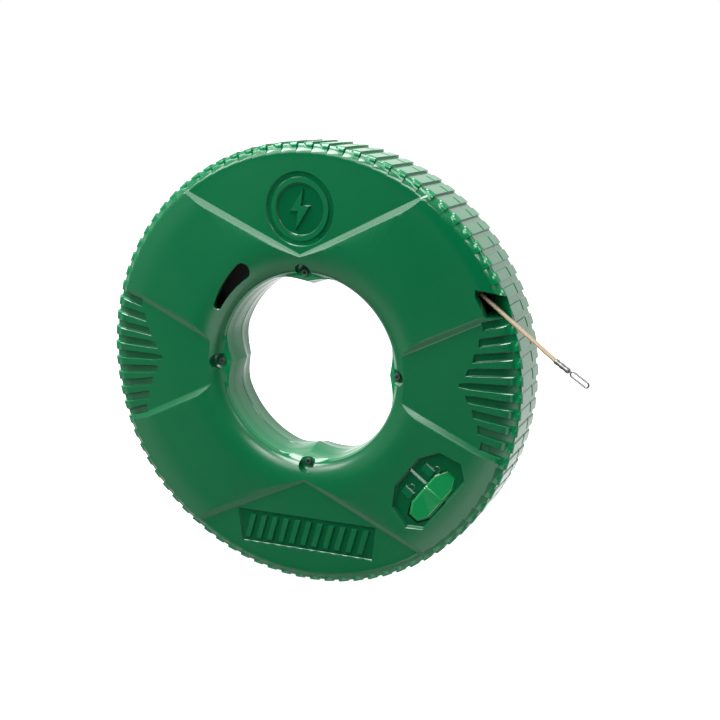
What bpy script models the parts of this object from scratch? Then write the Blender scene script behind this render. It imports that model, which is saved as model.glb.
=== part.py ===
"""Fish tape reel: a round two-shell case around a free-running drum of tape.

Everything is modelled around the reel's axis in one lying frame: local X and Y are in the
plane of the reel and local Z, called the height below, points out of the front face.
One empty turns that frame upright, so the front faces -Y and +Z is up.
"""
import math

import bmesh
import bpy
from mathutils import Matrix, Vector

MM = 0.001
GAP = 0.3 * MM                      # between pieces that rest on or run in each other
WELD = 0.0001 * MM                  # merge distance of every weld
PAST = 2.5 * MM                     # how far a cutter runs past the face it cuts through
CLEAR_OF_CASE = 53 * MM             # height well outside the case, where tall cutters end
SMOOTH_ANGLE = math.radians(35)     # edges sharper than this are shaded sharp

# ---- case ----
LUGS = 84                           # facets round the case, one for each lug of its tread
CASE_R = 165 * MM                   # over the tread
CASE_HALF = 26.5 * MM               # half the case's thickness
PARTING = -4 * MM                   # height of the plane where the two shells meet
FACE_R = 156 * MM                   # the flat of the face ends here
SHOULDER = [(161 * MM, 25.2 * MM), (163.8 * MM, 23 * MM), (CASE_R, 20 * MM)]
BORE_R = 70.5 * MM                  # hand hole
BORE_EDGE = 17 * MM                 # height of the hand hole's edge
FUNNEL = [(73 * MM, 23 * MM), (78 * MM, 24.8 * MM), (85 * MM, 26 * MM)]   # from there up
FUNNEL_R = 93 * MM                  # the curve ends here, at the face
BORE_WALL = 2.5 * MM
RIM_WALL = 3.5 * MM
FACE_WALL = 5 * MM
CORNER = 6.5 * MM                   # inside corners of the case
RELIEF = 2.5 * MM                   # depth of the four sunk sectors of a face
CREASE_APEX = 81 * MM               # where two creases meet over and under the hand hole
CREASE_ANGLE = math.radians(25)
SIDE_APEX = 31 * MM                 # where the creases of a side sector would meet
SECTOR_REACH = 214.5 * MM           # a sector's cutter ends here, outside the case

# ---- case screws ----
SCREWS = 4
SCREW_R = 71.5 * MM                 # distance from the axis
BOSS_NOSE = 6 * MM                  # how far a boss stands into the hand hole
BOSS_SPREAD = math.radians(22)      # half the arc over which it blends into the hole's wall
BOSS_STEPS = 12
BOSS_BACK = [(74 * MM, 20), (77.5 * MM, 6), (77.5 * MM, -6), (74 * MM, -20)]
                                    # its buried side: radius, degrees from its middle
SEAT = 15.5 * MM                    # height of the seat under a screw's head
SEAT_R = 4.7 * MM
HEAD_R = 3.5 * MM
HEAD_H = 2.4 * MM
SHANK_R = 1.75 * MM
SCREW_TIP = -13.5 * MM
SCREW_SIDES = 16
SEAT_SIDES = 20

# ---- drum ----
DRUM_SIDES = 60
GLIDE_SIDES = 48
HUB_R = (81.4 * MM, 83.9 * MM)
HUB_H = (-18.7 * MM, 7.2 * MM)
FRONT_FLANGE_R = 125.4 * MM
FRONT_FLANGE_H = (7.5 * MM, 9.5 * MM)
REAR_FLANGE_R = 127 * MM
REAR_FLANGE_H = (-21 * MM, -19 * MM)
COIL_R = (86 * MM, 122.5 * MM)
COIL_H = (-18.9 * MM, 7.1 * MM)
LOCK_SLOTS = 24
SLOT_R = (114.8 * MM, 121.8 * MM)
SLOT_HALF = 5 * MM
GLIDE_R = (79 * MM, 81.1 * MM)
GLIDE_LIP_R = 84.5 * MM
GLIDE_LIP = 1 * MM
FRONT_GLIDE_H = (1 * MM, 10.8 * MM)
REAR_GLIDE_H = (-18.7 * MM, -9 * MM)
ANCHOR_R = (84.2 * MM, 85.7 * MM)
ANCHOR_ANGLE = math.radians(215)
ANCHOR_SPAN = math.radians(14)
ANCHOR_H = (-5 * MM, 5 * MM)
ANCHOR_STEPS = 4

# ---- tape ----
TAPE_R = 1.5 * MM
PORT_POINT = Vector((134.3, 61.6, 15.2)) * MM     # on the tape's line, inside the port
TAPE_LINE = Vector((0.8038, -0.5348, 0.2605))        # direction of the tape at the port
TAPE_TIP = Vector((213.4, 11.2, 40.5)) * MM       # far end of the eye
TAPE_INSIDE = 84 * MM                             # from the wound tape to PORT_POINT
TAPE_OUTSIDE = 68 * MM                            # from PORT_POINT to the ferrule
TAPE_POINTS = 15
FERRULE_R = 2.0 * MM
FERRULE_LENGTH = 12.3 * MM
EYE_WIRE_R = 0.7 * MM
EYE_HALF_WIDTH = 1.7 * MM
EYE_ARC_POINTS = 7                                # round each end of the eye
PORT = [(131.8, 66.2), (150.6, 63.6), (176, 60), (176, 34), (158.5, 44.2), (151, 49.2),
        (139.9, 49.2)]                            # outline of the port, in millimetres
PORT_FLOOR = 9 * MM
PORT_BLOCK = (13 * MM, 12 * MM)                   # tape guide: along the tape, across it
PORT_BLOCK_H = (7.5 * MM, 21.2 * MM)
PORT_BLOCK_BACK = 10 * MM                         # its centre lies this far inside PORT_POINT

# ---- window over the drum ----
WINDOW_R = (80 * MM, 90 * MM)
WINDOW_ARC = (math.radians(123.5), math.radians(147.5))
WINDOW_ENDS = (5 * MM, 3 * MM)                    # half width at each end
WINDOW_STEPS = 6

# ---- lock ----
LOCK_ANGLE = math.radians(-38)                    # of the rocker's pivot
RECESS = [(106.3, -16.5), (106.3, 12.5), (114.7, 26.5), (131.6, 31), (141.5, 23),
          (141.5, -27), (131.6, -35), (114.7, -30.5)]
RECESS_DEPTH = 2.5 * MM
ROCKER_R = (122.5 * MM, 141 * MM)                 # its two sides
ROCKER_T = (-27 * MM, 21 * MM)                    # its two ends, lock end first
ROCKER_CHAMFER = (4.5 * MM, 9 * MM)               # corners of the octagon
ROCKER_FLOOR = 20 * MM
RIDGE_H = 26.3 * MM
LOCK_END_H = 25.6 * MM
OPEN_END_H = 22.2 * MM
ROCKER_GAP = 0.5 * MM
ROCKER_SWING = 0.9 * MM                           # more room at the lock end, which swings out
PIVOT_H = 19.5 * MM
HUB_BARREL_R = 3.2 * MM
PIN_R = 1.2 * MM
PIN_HOLE_R = 1.55 * MM
PIN_R_SPAN = (119.5 * MM, 144.1 * MM)
EARS = [(119 * MM, 121.6 * MM), (141.9 * MM, 144.5 * MM)]
EAR_HALF = 3.5 * MM
EAR_H = (16.6 * MM, 22.5 * MM)
LEVER_R = (113.6 * MM, 124.5 * MM)
LEVER_T = (-18 * MM, -10 * MM)
LEVER_H = (18.2 * MM, 21.2 * MM)
PLUNGER = (117.5 * MM, -14 * MM)                  # its place in the lock's frame
PLUNGER_DOME_H = 15.4 * MM
PLUNGER_R = 2.5 * MM
PLUNGER_SIDES = 16
DOME_STEPS = 5
PLUNGER_TIP = 10.7 * MM
COLLAR_R = 4 * MM
COLLAR_H = (15.0 * MM, 16.0 * MM)
BRACKET_T = (-21.5 * MM, -6.5 * MM)
BRACKET_R = (112.5 * MM, 122.5 * MM)
BRACKET_H = (9.9 * MM, 21.2 * MM)
BRACKET_WALL = 1.3 * MM
BRACKET_PLATE = 1 * MM
SPRING_R = 3.3 * MM
SPRING_WIRE_R = 0.3 * MM
SPRING_TURNS = 2.5
SPRING_STEPS = 10                                 # points in one turn
SPRING_H = (11.6 * MM, 14.3 * MM)
LEAF = 0.5 * MM
LEAF_T = (-7 * MM, 25 * MM)
LEAF_H = 15.2 * MM
LEAF_TOP = 21.2 * MM
LEAF_R = (128 * MM, 135 * MM)

# ---- trim of the front face ----
BADGE_Y = 117.5 * MM
BADGE_R = 19 * MM
BADGE_SIDES = 24
PANEL = [(-57, -114), (57, -114), (54, -140), (-54, -140)]
TRIM_DEPTH = 1.0 * MM

COLOURS = {
    "case_green": ((0.012, 0.15, 0.065, 1), 0.42, 0),
    "rocker_green": ((0.005, 0.22, 0.06, 1), 0.25, 0),
    "drum_black": ((0.012, 0.012, 0.013, 1), 0.5, 0),
    "acetal": ((0.65, 0.64, 0.58, 1), 0.4, 0),
    "screw_steel": ((0.03, 0.03, 0.032, 1), 0.35, 1),
    "bright_steel": ((0.6, 0.6, 0.6, 1), 0.2, 1),
    "glass_fibre": ((0.62, 0.42, 0.24, 1), 0.35, 0),
}


def clear_scene():
    for obj in list(bpy.data.objects):
        bpy.data.objects.remove(obj)


def make_collection(name):
    collection = bpy.data.collections.new(name)
    bpy.context.scene.collection.children.link(collection)
    return collection


def make_empty(name, parent=None, rotation=(0, 0, 0)):
    empty = bpy.data.objects.new(name, None)
    empty.parent = parent
    empty.rotation_euler = rotation
    GUIDES.objects.link(empty)
    return empty


def make_material(name):
    colour, roughness, metallic = COLOURS[name]
    material = bpy.data.materials.new(name)
    material.use_nodes = True
    shader = material.node_tree.nodes["Principled BSDF"]
    shader.inputs["Base Color"].default_value = colour
    shader.inputs["Roughness"].default_value = roughness
    shader.inputs["Metallic"].default_value = metallic
    return material


def polar(radius, angle, height=0.0):
    return Vector((radius * math.cos(angle), radius * math.sin(angle), height))


def circle(radius, points):
    return [polar(radius, 2 * math.pi * i / points).xy for i in range(points)]


def in_mm(outline):
    return [(x * MM, y * MM) for x, y in outline]


def add_object(name, mesh, parent, collection, location=(0, 0, 0)):
    obj = bpy.data.objects.new(name, mesh)
    collection.objects.link(obj)
    obj.parent = parent
    obj.location = location
    return obj


def turned(name, profile, steps, parent=None, location=(0, 0, 0), start=0.0):
    """A profile of (radius, height), down the outer side first, turned about local Z."""
    mesh = bpy.data.meshes.new(name)
    closed = profile[0][0] > 0
    points = [polar(radius, start, height) for radius, height in profile]
    count = len(points)
    edges = [(i, (i + 1) % count) for i in range(count if closed else count - 1)]
    mesh.from_pydata(points, edges, [])
    obj = add_object(name, mesh, parent or REEL, PARTS, location)
    screw = obj.modifiers.new("turn", "SCREW")
    screw.steps = steps
    screw.render_steps = steps
    screw.use_merge_vertices = True
    screw.merge_threshold = WELD
    return obj


def ring(radii, heights):
    """Closed rectangular profile of a ring."""
    inner, outer = radii
    low, high = heights
    return [(outer, high), (outer, low), (inner, low), (inner, high)]


def meshed(obj):
    """Turn a curve object into a welded mesh object of the same name and place."""
    bpy.context.view_layer.update()
    evaluated = obj.evaluated_get(bpy.context.evaluated_depsgraph_get())
    mesh = bpy.data.meshes.new_from_object(evaluated)
    work = bmesh.new()
    work.from_mesh(mesh)
    bmesh.ops.remove_doubles(work, verts=work.verts, dist=WELD)
    bmesh.ops.dissolve_degenerate(work, dist=WELD, edges=work.edges)
    bmesh.ops.recalc_face_normals(work, faces=work.faces)
    work.to_mesh(mesh)
    work.free()
    name = obj.name
    parent = obj.parent
    collection = obj.users_collection[0]
    basis = obj.matrix_basis.copy()
    bpy.data.objects.remove(obj)
    solid = add_object(name, mesh, parent, collection)
    solid.matrix_basis = basis
    return solid


def flat_outline(name, loops, heights, parent=None, collection=None):
    """Closed outlines filled and extruded between two heights; inner outlines are holes."""
    low, high = heights
    curve = bpy.data.curves.new(name, "CURVE")
    curve.dimensions = "2D"
    curve.fill_mode = "BOTH"
    curve.extrude = (high - low) / 2
    for loop in loops:
        spline = curve.splines.new("POLY")
        spline.points.add(len(loop) - 1)
        for point, (x, y) in zip(spline.points, loop):
            point.co = (x, y, 0, 1)
        spline.use_cyclic_u = True
    obj = add_object(name, curve, parent or REEL, collection or PARTS)
    obj.location = (0, 0, (low + high) / 2)
    return meshed(obj)


def swept(name, points, radius, cyclic=False, resolution=2, parent=None):
    """A round bar along a list of points."""
    curve = bpy.data.curves.new(name, "CURVE")
    curve.dimensions = "3D"
    curve.bevel_depth = radius
    curve.bevel_resolution = resolution
    curve.use_fill_caps = True
    spline = curve.splines.new("POLY")
    spline.points.add(len(points) - 1)
    for point, place in zip(spline.points, points):
        point.co = (*place, 1)
    spline.use_cyclic_u = cyclic
    return add_object(name, curve, parent or REEL, PARTS)


def rod(name, start, end, radius, sides=16, parent=None, collection=None):
    """A straight cylinder between two points."""
    start = Vector(start)
    along = Vector(end) - start
    work = bmesh.new()
    bmesh.ops.create_cone(work, cap_ends=True, segments=sides, radius1=radius, radius2=radius,
                          depth=along.length)
    turn = Vector((0, 0, 1)).rotation_difference(along).to_matrix().to_4x4()
    bmesh.ops.transform(work, matrix=turn, verts=work.verts)
    mesh = bpy.data.meshes.new(name)
    work.to_mesh(mesh)
    work.free()
    return add_object(name, mesh, parent or REEL, collection or PARTS, start + along / 2)


def block(name, low, high, parent=None, collection=None):
    """A box between two corners."""
    low = Vector(low)
    high = Vector(high)
    work = bmesh.new()
    bmesh.ops.create_cube(work, size=1)
    bmesh.ops.scale(work, vec=high - low, verts=work.verts)
    mesh = bpy.data.meshes.new(name)
    work.to_mesh(mesh)
    work.free()
    return add_object(name, mesh, parent or REEL, collection or PARTS, (low + high) / 2)


def combine(obj, tool, operation):
    """Cut, join or intersect an object with a guide object."""
    tool.hide_render = True
    tool.display_type = "WIRE"
    boolean = obj.modifiers.new(tool.name, "BOOLEAN")
    boolean.operation = operation
    boolean.object = tool


def cut(obj, tool):
    combine(obj, tool, "DIFFERENCE")


def join(obj, tool):
    combine(obj, tool, "UNION")


def finish(obj, material):
    """Give an object its own material and smooth shading."""
    obj.data.materials.clear()
    own = make_material(material)
    own.name = obj.name
    obj.data.materials.append(own)
    if obj.type == "MESH":
        obj.data.shade_smooth()
        if obj.data.polygons:
            obj.data.set_sharp_from_angle(angle=SMOOTH_ANGLE)
    return obj


# ---- case ----

def facet_radius(radius):
    """Radius of the corners of a turned surface whose flats lie at the radius given."""
    return radius / math.cos(math.pi / LUGS)


def shell_profile(parting):
    """Front half of the case in section, from the face down the rim and back up the bore."""
    face_inside = CASE_HALF - FACE_WALL
    rim_inside = CASE_R - RIM_WALL
    bore_outside = BORE_R + BORE_WALL
    outer = [(FUNNEL_R, CASE_HALF), (FACE_R, CASE_HALF)] + SHOULDER + [(CASE_R, parting)]
    inner = [(rim_inside, parting), (rim_inside, face_inside - CORNER),
             (rim_inside - CORNER, face_inside), (bore_outside + CORNER, face_inside),
             (bore_outside, face_inside - CORNER), (bore_outside, parting)]
    bore = [(BORE_R, parting), (BORE_R, BORE_EDGE)] + FUNNEL
    return [(facet_radius(radius), height) for radius, height in outer + inner + bore]


def screw_angles():
    return [2 * math.pi * i / SCREWS for i in range(SCREWS)]


def screw_places():
    return [polar(SCREW_R, angle) for angle in screw_angles()]


def boss_outline(angle):
    """A screw boss that swells smoothly out of the hand hole's wall."""
    outline = []
    for i in range(BOSS_STEPS + 1):
        part = 2 * i / BOSS_STEPS - 1
        nose = BOSS_NOSE * (1 + math.cos(math.pi * part)) / 2
        outline.append(polar(BORE_R + GAP - nose, angle + part * BOSS_SPREAD).xy)
    outline += [polar(radius, angle + math.radians(turn)).xy for radius, turn in BOSS_BACK]
    return outline


def sector_outlines():
    """The four sunk sectors between the arms of a face."""
    rise = SECTOR_REACH * math.tan(CREASE_ANGLE)
    top = [(0, CREASE_APEX), (SECTOR_REACH, CREASE_APEX + rise), (0, 2 * SECTOR_REACH),
           (-SECTOR_REACH, CREASE_APEX + rise)]
    bottom = [(x, -y) for x, y in reversed(top)]
    side = (SECTOR_REACH - SIDE_APEX) * math.tan(CREASE_ANGLE)
    right = [(SIDE_APEX, 0), (SECTOR_REACH, -side), (SECTOR_REACH, side)]
    left = [(-x, y) for x, y in reversed(right)]
    return [top, bottom, right, left]


def case_shell(name, front):
    """One half of the case: turned wall, screw bosses, sunk sectors and screw holes."""
    sign = 1 if front else -1
    parting = PARTING if front else -PARTING + GAP
    profile = [(radius, sign * height) for radius, height in shell_profile(parting)]
    if not front:
        profile.reverse()
    shell = turned(name, profile, LUGS, start=math.pi / LUGS)
    top = sign * (BORE_EDGE - GAP)
    heights = sorted((sign * parting, top))
    for i, angle in enumerate(screw_angles()):
        join(shell, flat_outline(f"{name}_boss_{i}", [boss_outline(angle)], heights,
                                 collection=CUTTERS))
    for i, outline in enumerate(sector_outlines()):
        depth = sorted((sign * (CASE_HALF - RELIEF), sign * (CASE_HALF + PAST)))
        cut(shell, flat_outline(f"{name}_sector_{i}", [outline], depth, collection=CUTTERS))
    return finish(shell, "case_green")


def screw_holes(shell, front):
    """Clearance holes and head seats in the front shell, blind holes in the rear one."""
    low = PARTING - PAST if front else SCREW_TIP - PAST
    high = CASE_HALF if front else PARTING + PAST
    for i, place in enumerate(screw_places()):
        hole = rod(f"{shell.name}_screw_hole_{i}", (*place.xy, low), (*place.xy, high),
                   SHANK_R + GAP, collection=CUTTERS)
        cut(shell, hole)
        if front:
            seat = rod(f"{shell.name}_screw_seat_{i}", (*place.xy, SEAT),
                       (*place.xy, CLEAR_OF_CASE), SEAT_R, SEAT_SIDES, collection=CUTTERS)
            cut(shell, seat)


def case_screws():
    under_head = SEAT + GAP
    profile = [(0, under_head + HEAD_H), (HEAD_R, under_head + HEAD_H), (HEAD_R, under_head),
               (SHANK_R, under_head), (SHANK_R, SCREW_TIP), (0, SCREW_TIP)]
    for i, place in enumerate(screw_places()):
        screw = turned(f"case_screw_{i + 1}", profile, SCREW_SIDES, location=(*place.xy, 0))
        finish(screw, "screw_steel")


def window_outline():
    """A curved slot that narrows from its upper to its lower end."""
    middle = (WINDOW_R[0] + WINDOW_R[1]) / 2
    taper = WINDOW_ENDS[0] - WINDOW_ENDS[1]
    start, end = WINDOW_ARC
    outer = []
    inner = []
    for i in range(WINDOW_STEPS + 1):
        part = i / WINDOW_STEPS
        angle = start + part * (end - start)
        half = WINDOW_ENDS[0] - part * taper
        centre = middle - part * taper
        outer.append(polar(centre + half, angle).xy)
        inner.append(polar(centre - half, angle).xy)
    first = polar(middle, start - WINDOW_ENDS[0] / middle).xy
    last = polar(middle - taper, end + WINDOW_ENDS[1] / middle).xy
    return [first] + outer + [last] + inner[::-1]


def front_features(shell):
    """Window, tape port, lock recess, badge and panel of the front shell."""
    through = (CASE_HALF - FACE_WALL - PAST, CLEAR_OF_CASE)
    cut(shell, flat_outline("window_cut", [window_outline()], through, collection=CUTTERS))
    port = (PORT_FLOOR, CLEAR_OF_CASE)
    cut(shell, flat_outline("port_cut", [in_mm(PORT)], port, collection=CUTTERS))
    outside = PORT_POINT + tape_direction() * TAPE_OUTSIDE
    cut(shell, rod("tape_groove", PORT_POINT, outside, TAPE_R + 2 * GAP, collection=CUTTERS))
    badge = (CASE_HALF - RELIEF - TRIM_DEPTH, CLEAR_OF_CASE)
    disc = [(x, y + BADGE_Y) for x, y in circle(BADGE_R, BADGE_SIDES)]
    cut(shell, flat_outline("badge_cut", [disc], badge, collection=CUTTERS))
    cut(shell, flat_outline("panel_cut", [in_mm(PANEL)], badge, collection=CUTTERS))


# ---- drum and tape ----

def drum():
    """Hub, two flanges, the wound tape as one ring, and the clip that holds its end."""
    finish(turned("drum_hub", ring(HUB_R, HUB_H), DRUM_SIDES, DRUM), "drum_black")
    rear = ring((HUB_R[0], REAR_FLANGE_R), REAR_FLANGE_H)
    finish(turned("drum_rear_flange", rear, DRUM_SIDES, DRUM), "drum_black")
    finish(flat_outline("drum_front_flange", flange_loops(), FRONT_FLANGE_H, DRUM), "drum_black")
    finish(turned("tape_coil", ring(COIL_R, COIL_H), DRUM_SIDES, DRUM), "glass_fibre")
    arc = [ANCHOR_ANGLE + (i / ANCHOR_STEPS - 0.5) * ANCHOR_SPAN
           for i in range(ANCHOR_STEPS + 1)]
    outline = [polar(ANCHOR_R[1], angle).xy for angle in arc]
    outline += [polar(ANCHOR_R[0], angle).xy for angle in reversed(arc)]
    finish(flat_outline("tape_anchor_clip", [outline], ANCHOR_H, DRUM), "bright_steel")


def flange_loops():
    """Outline of the front flange with the slots that the plunger drops into."""
    first = LOCK_ANGLE + math.atan2(PLUNGER[1], PLUNGER[0])
    loops = [circle(FRONT_FLANGE_R, DRUM_SIDES), circle(HUB_R[0], DRUM_SIDES)]
    for i in range(LOCK_SLOTS):
        turn = Matrix.Rotation(first + 2 * math.pi * i / LOCK_SLOTS, 2)
        corners = [(SLOT_R[0], -SLOT_HALF), (SLOT_R[1], -SLOT_HALF),
                   (SLOT_R[1], SLOT_HALF), (SLOT_R[0], SLOT_HALF)]
        loops.append([turn @ Vector(corner) for corner in corners])
    return loops


def glide_ring(name, heights, lip_at_top):
    """Plain bearing of the drum: a sleeve with a thrust lip."""
    low, high = heights
    inner, outer = GLIDE_R
    if lip_at_top:
        profile = [(GLIDE_LIP_R, high), (GLIDE_LIP_R, high - GLIDE_LIP),
                   (outer, high - GLIDE_LIP), (outer, low), (inner, low), (inner, high)]
    else:
        profile = ring(GLIDE_R, heights)
    finish(turned(name, profile, GLIDE_SIDES), "acetal")


def tape_direction():
    return TAPE_LINE.normalized()


def tape():
    """The tape from the wound coil out through the port, with its ferrule and pulling eye."""
    along = tape_direction()
    start = PORT_POINT - along * TAPE_INSIDE
    end = PORT_POINT + along * TAPE_OUTSIDE
    step = (end - start) / (TAPE_POINTS - 1)
    points = [start + step * i for i in range(TAPE_POINTS)]
    finish(swept("tape_run", points, TAPE_R, parent=TAPE), "glass_fibre")
    seat = end + along * GAP
    along = (TAPE_TIP - seat).normalized()
    ferrule_end = seat + along * FERRULE_LENGTH
    finish(rod("leader_ferrule", seat, ferrule_end, FERRULE_R, parent=TAPE), "bright_steel")
    across = along.cross(Vector((0, 0, 1))).normalized()
    first = ferrule_end + along * (GAP + EYE_WIRE_R + EYE_HALF_WIDTH)
    last = TAPE_TIP - along * (EYE_WIRE_R + EYE_HALF_WIDTH)
    loop = []
    for centre, base in ((last, 0.0), (first, math.pi)):
        for i in range(EYE_ARC_POINTS):
            angle = base + math.pi * (i / (EYE_ARC_POINTS - 1) - 0.5)
            offset = along * math.cos(angle) + across * math.sin(angle)
            loop.append(centre + offset * EYE_HALF_WIDTH)
    eye = swept("leader_eye", loop, EYE_WIRE_R, cyclic=True, parent=TAPE)
    finish(eye, "bright_steel")


def tape_guide():
    """Block inside the port with the hole that the tape runs through."""
    along = tape_direction()
    flat = Vector((along.x, along.y)).normalized()
    side = Vector((-flat.y, flat.x))
    centre = (PORT_POINT - along * PORT_BLOCK_BACK).xy
    length, width = PORT_BLOCK
    outline = []
    for a, b in ((-1, -1), (1, -1), (1, 1), (-1, 1)):
        outline.append(centre + flat * a * length / 2 + side * b * width / 2)
    guide = flat_outline("tape_guide", [outline], PORT_BLOCK_H)
    reach = along * 2 * length
    middle = PORT_POINT - along * PORT_BLOCK_BACK
    hole = rod("guide_hole", middle - reach, middle + reach, TAPE_R + 2 * GAP,
               collection=CUTTERS)
    cut(guide, hole)
    finish(guide, "drum_black")


# ---- lock, in a frame whose X points outwards through the rocker's pivot ----

def rocker_outline(gap, swing=0.0):
    """Elongated octagon of the rocker, grown by a gap all round."""
    inner, outer = ROCKER_R[0] - gap, ROCKER_R[1] + gap
    low, high = ROCKER_T[0] - gap - swing, ROCKER_T[1] + gap
    side, end = ROCKER_CHAMFER
    return [(inner, low + end), (inner + side, low), (outer - side, low), (outer, low + end),
            (outer, high - end), (outer - side, high), (inner + side, high),
            (inner, high - end)]


def lock_openings(shell):
    """Sunk octagon, rocker opening and the two ears that hold the rocker's pin."""
    for i, (inner, outer) in enumerate(EARS):
        ear = block(f"ear_{i}", (inner, -EAR_HALF, EAR_H[0]), (outer, EAR_HALF, EAR_H[1]),
                    LOCK, CUTTERS)
        join(shell, ear)
    recess = (CASE_HALF - RECESS_DEPTH, CLEAR_OF_CASE)
    cut(shell, flat_outline("recess_cut", [in_mm(RECESS)], recess, LOCK, CUTTERS))
    through = (PIVOT_H, CLEAR_OF_CASE)
    opening = rocker_outline(ROCKER_GAP, ROCKER_SWING)
    cut(shell, flat_outline("rocker_opening", [opening], through, LOCK, CUTTERS))
    cut(shell, pin_hole("shell_pin_hole", LOCK))


def pin_hole(name, parent):
    inner, outer = PIN_R_SPAN
    return rod(name, (inner - GAP, 0, PIVOT_H), (outer + GAP, 0, PIVOT_H), PIN_HOLE_R,
               parent=parent, collection=CUTTERS)


def across_lock(name, outline, radii, parent, collection=None):
    """An outline of (along the rim, height) carried from one radius to another."""
    inner, outer = radii
    solid = flat_outline(name, [outline], (inner, outer), parent, collection)
    turn = Matrix(((0, 0, 1), (1, 0, 0), (0, 1, 0))).to_4x4()
    solid.data.transform(turn @ Matrix.Translation((0, 0, (inner + outer) / 2)))
    solid.location = (0, 0, 0)
    return solid


def rocker():
    """Two-way lock button: two sloping halves, a barrel for the pin and a lever."""
    body = flat_outline("lock_rocker", [rocker_outline(0)],
                        (ROCKER_FLOOR, CASE_HALF + PAST), ROCKER)
    low, high = ROCKER_T
    roof = [(low - PAST, 0), (high + PAST, 0), (high + PAST, OPEN_END_H), (0, RIDGE_H),
            (low - PAST, LOCK_END_H)]
    wide = (ROCKER_R[0] - PAST, ROCKER_R[1] + PAST)
    combine(body, across_lock("rocker_roof", roof, wide, ROCKER, CUTTERS), "INTERSECT")
    barrel = rod("rocker_barrel", (ROCKER_R[0] + 2 * GAP, 0, PIVOT_H),
                 (ROCKER_R[1] - 2 * GAP, 0, PIVOT_H), HUB_BARREL_R, parent=ROCKER,
                 collection=CUTTERS)
    join(body, barrel)
    lever = block("rocker_lever", (LEVER_R[0], LEVER_T[0], LEVER_H[0]),
                  (LEVER_R[1], LEVER_T[1], LEVER_H[1]), ROCKER, CUTTERS)
    join(body, lever)
    cut(body, pin_hole("rocker_pin_hole", ROCKER))
    origin_to_pivot(body)
    finish(body, "rocker_green")
    pin = rod("rocker_pin", (PIN_R_SPAN[0], 0, PIVOT_H), (PIN_R_SPAN[1], 0, PIVOT_H), PIN_R,
              parent=LOCK)
    finish(pin, "bright_steel")


def origin_to_pivot(obj):
    """Move a mesh's origin onto the rocker's pivot without moving its shape."""
    pivot = Vector((0, 0, PIVOT_H))
    obj.data.transform(Matrix.Translation(obj.location - pivot))
    obj.location = pivot


def plunger():
    """Domed pin that the rocker's lever pushes into a slot of the drum."""
    dome = []
    for i in range(DOME_STEPS):
        angle = i * math.pi / 2 / DOME_STEPS
        height = PLUNGER_DOME_H + PLUNGER_R * math.cos(angle)
        if height > COLLAR_H[1]:
            dome.append((PLUNGER_R * math.sin(angle), height))
    neck = dome[-1][0]
    profile = dome + [(neck, COLLAR_H[1]), (COLLAR_R, COLLAR_H[1]), (COLLAR_R, COLLAR_H[0]),
                      (PLUNGER_R, COLLAR_H[0]), (PLUNGER_R, PLUNGER_TIP), (0, PLUNGER_TIP)]
    pin = turned("lock_plunger", profile, PLUNGER_SIDES, LOCK, location=(*PLUNGER, 0))
    finish(pin, "bright_steel")


def plunger_bracket():
    """U-shaped bracket under the face that guides the plunger."""
    low, high = BRACKET_T
    bottom, top = BRACKET_H
    inside = bottom + BRACKET_PLATE
    outline = [(low, bottom), (high, bottom), (high, top), (high - BRACKET_WALL, top),
               (high - BRACKET_WALL, inside), (low + BRACKET_WALL, inside),
               (low + BRACKET_WALL, top), (low, top)]
    bracket = across_lock("plunger_bracket", outline, BRACKET_R, LOCK)
    hole = rod("bracket_hole", (*PLUNGER, 0), (*PLUNGER, CASE_HALF - FACE_WALL),
               PLUNGER_R + GAP, parent=LOCK, collection=CUTTERS)
    cut(bracket, hole)
    finish(bracket, "bright_steel")


def plunger_spring():
    """Helical spring that returns the plunger when the rocker lets go."""
    count = int(SPRING_TURNS * SPRING_STEPS) + 1
    low, high = SPRING_H
    points = []
    for i in range(count):
        angle = 2 * math.pi * i / SPRING_STEPS
        height = low + (high - low) * i / (count - 1)
        points.append(Vector((*PLUNGER, height)) + polar(SPRING_R, angle))
    finish(swept("plunger_spring", points, SPRING_WIRE_R, resolution=1, parent=LOCK),
           "bright_steel")


def detent_leaf():
    """Leaf spring under the rocker's barrel that holds it in either position."""
    low, high = LEAF_T
    outline = [(low, LEAF_H - LEAF), (high, LEAF_H - LEAF), (high, LEAF_TOP),
               (high - LEAF, LEAF_TOP), (high - LEAF, LEAF_H), (low, LEAF_H)]
    finish(across_lock("detent_leaf", outline, LEAF_R, LOCK), "bright_steel")


clear_scene()
PARTS = make_collection("fish_tape_reel")
CUTTERS = make_collection("cutters")
GUIDES = make_collection("frames")
REEL = make_empty("reel_frame", rotation=(math.pi / 2, 0, 0))
DRUM = make_empty("drum_frame", REEL)
TAPE = make_empty("tape_frame", REEL)
LOCK = make_empty("lock_frame", REEL, (0, 0, LOCK_ANGLE))
ROCKER = make_empty("rocker_frame", LOCK)

front_shell = case_shell("front_shell", True)
rear_shell = case_shell("rear_shell", False)
front_features(front_shell)
lock_openings(front_shell)
screw_holes(front_shell, True)
screw_holes(rear_shell, False)
case_screws()
glide_ring("front_glide_ring", FRONT_GLIDE_H, True)
glide_ring("rear_glide_ring", REAR_GLIDE_H, False)
drum()
tape()
tape_guide()
rocker()
plunger()
plunger_bracket()
plunger_spring()
detent_leaf()
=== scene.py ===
"""Looks of the fish tape reel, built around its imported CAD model.

Shapes are worked out in millimetres in the reel's lying frame: x and y in the plane of the
reel and h, the height, out of its front face. place() turns that frame upright, so that the
front faces -Y and +Z is up, and scales it to metres.
"""
import math

import bmesh
import bpy
import numpy as np
from mathutils import Matrix, Vector


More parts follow.
